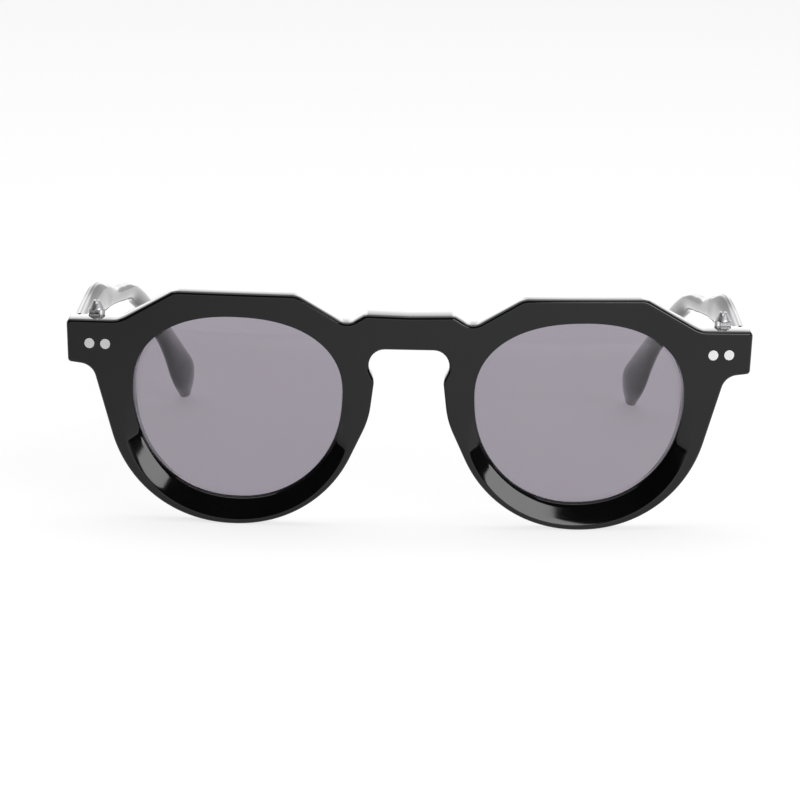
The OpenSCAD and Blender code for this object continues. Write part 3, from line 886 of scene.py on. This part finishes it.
def studio():
    """White table, surroundings and two softboxes, one above and one in front."""
    size = 3.0
    mesh = bpy.data.meshes.new("table")
    corners = [(-size, -size, 0), (size, -size, 0), (size, size, 0), (-size, size, 0)]
    mesh.from_pydata(corners, [], [(0, 1, 2, 3)])
    table = new_object("table", mesh, table_material())
    centre = (0, 0, 0.025)
    lamp("top_softbox", (0, 0.1, 1.2), centre, (1.5, 1.0), 7)
    lamp("side_softbox", (0.725, -1.0, 0.524), centre, (1.2, 0.45), 6.75, "ELLIPSE")
    world_light()


def mapped(nodes, links, source, span, values):
    """A number that passes smoothly between two values as another crosses a span."""
    tone = nodes.new("ShaderNodeMapRange")
    tone.interpolation_type = "SMOOTHSTEP"
    tone.inputs["From Min"].default_value, tone.inputs["From Max"].default_value = span
    tone.inputs["To Min"].default_value, tone.inputs["To Max"].default_value = values
    links.new(source, tone.inputs["Value"])
    return tone.outputs["Result"]


def joined(nodes, links, operation, first, second):
    """Two numbers put together by a named operation."""
    step = nodes.new("ShaderNodeMath")
    step.operation = operation
    links.new(first, step.inputs[0])
    links.new(second, step.inputs[1])
    return step.outputs["Value"]


def table_material():
    """Table top that shows white and keeps the object's shadow.

    In reflections it is darker towards the wearer's right and close in front, and brightest
    behind the object.
    """
    material, nodes, links = shader("white_table")
    nodes.remove(nodes["Principled BSDF"])
    shown_glow, tone = 0.745, 0.36
    matt = nodes.new("ShaderNodeBsdfDiffuse")
    matt.inputs["Color"].default_value = (tone, tone, tone, 1)
    glow = nodes.new("ShaderNodeEmission")
    path = nodes.new("ShaderNodeLightPath")
    place = nodes.new("ShaderNodeTexCoord")
    split = nodes.new("ShaderNodeSeparateXYZ")
    links.new(place.outputs["Object"], split.inputs["Vector"])
    level = nodes.new("ShaderNodeMath")
    level.operation = "MULTIPLY"
    level.inputs[1].default_value = shown_glow
    straight, through = path.outputs["Is Camera Ray"], path.outputs["Is Transmission Ray"]
    seen = joined(nodes, links, "MAXIMUM", straight, through)
    links.new(seen, level.inputs[0])
    mirrored = mapped(nodes, links, split.outputs["X"], (-0.3, 0.1), (0.25, 0.54))
    far = mapped(nodes, links, split.outputs["Y"], (-1.2, -0.25), (0.4, 0.0))
    behind = mapped(nodes, links, split.outputs["Y"], (0.0, 0.12), (0.0, 0.75))
    mirrored = joined(nodes, links, "ADD", mirrored, far)
    mirrored = joined(nodes, links, "ADD", mirrored, behind)
    bounced = joined(nodes, links, "SUBTRACT", path.outputs["Is Glossy Ray"], through)
    glossy = joined(nodes, links, "MULTIPLY", bounced, mirrored)
    strength = joined(nodes, links, "MAXIMUM", level.outputs["Value"], glossy)
    links.new(strength, glow.inputs["Strength"])
    both = nodes.new("ShaderNodeAddShader")
    links.new(matt.outputs["BSDF"], both.inputs[0])
    links.new(glow.outputs["Emission"], both.inputs[1])
    links.new(both.outputs["Shader"], nodes["Material Output"].inputs["Surface"])
    return material


def world_light():
    """Bright behind the object up to a low height, dark in front but for a glow at the horizon.

    The camera sees white all round.
    """
    world = bpy.data.worlds.new("studio")
    bpy.context.scene.world = world
    world.use_nodes = True
    nodes, links = world.node_tree.nodes, world.node_tree.links
    sky = nodes["Background"]
    place = nodes.new("ShaderNodeTexCoord")
    split = nodes.new("ShaderNodeSeparateXYZ")
    links.new(place.outputs["Generated"], split.inputs["Vector"])
    behind = mapped(nodes, links, split.outputs["Y"], (-0.35, 0.35), (0.02, 1.85))
    aside = nodes.new("ShaderNodeMath")
    aside.operation = "ABSOLUTE"
    links.new(split.outputs["X"], aside.inputs[0])
    wings = mapped(nodes, links, aside.outputs["Value"], (0.04, 0.09), (1.0, 1.35))
    behind = joined(nodes, links, "MULTIPLY", behind, wings)
    above = mapped(nodes, links, split.outputs["Z"], (0.24, 0.38), (1.0, 0.38))
    behind = joined(nodes, links, "MULTIPLY", behind, above)
    far_aside = mapped(nodes, links, aside.outputs["Value"], (0.14, 0.24), (1.0, 0.42))
    behind = joined(nodes, links, "MULTIPLY", behind, far_aside)
    ahead = mapped(nodes, links, split.outputs["Y"], (-0.93, -0.8), (1.1, 0.0))
    low = mapped(nodes, links, split.outputs["Z"], (0.08, 0.22), (1.0, 0.0))
    horizon = joined(nodes, links, "MULTIPLY", ahead, low)
    tone = joined(nodes, links, "ADD", behind, horizon)
    path = nodes.new("ShaderNodeLightPath")
    strength = joined(nodes, links, "MAXIMUM", path.outputs["Is Camera Ray"], tone)
    links.new(strength, sky.inputs["Strength"])
    sky.inputs["Color"].default_value = (1, 1, 1, 1)


def camera():
    """Camera at the photograph's viewing angle, as fitted to the front's corners."""
    tilt = math.radians(11.8)
    roll = math.radians(1.1)
    yaw = math.radians(0.05)
    distance, focus_height = 900.0, 26.74
    pixels, focal, aside = 800, 4340.0, -8.35
    data = bpy.data.cameras.new("camera")
    data.sensor_width = 36.0
    data.lens = data.sensor_width * focal / pixels
    data.shift_x = aside / pixels
    data.clip_start = 0.01
    view = bpy.data.objects.new("camera", data)
    bpy.context.scene.collection.objects.link(view)
    turn = Matrix.Rotation(-yaw, 3, "Z")
    look = turn @ Vector((0, math.cos(tilt), -math.sin(tilt)))
    up = turn @ Vector((0, math.sin(tilt), math.cos(tilt)))
    view.location = (up * focus_height - look * distance + Vector((0, FRONT_Y, 0))) * MM
    right = look.cross(up)
    turned_up = up * math.cos(roll) - right * math.sin(roll)
    turned_right = look.cross(turned_up)
    axes = Matrix((turned_right, turned_up, -look)).transposed()
    view.rotation_euler = axes.to_euler()
    bpy.context.scene.camera = view
    bpy.context.scene.view_settings.view_transform = "Standard"


camera()
dress()
studio()
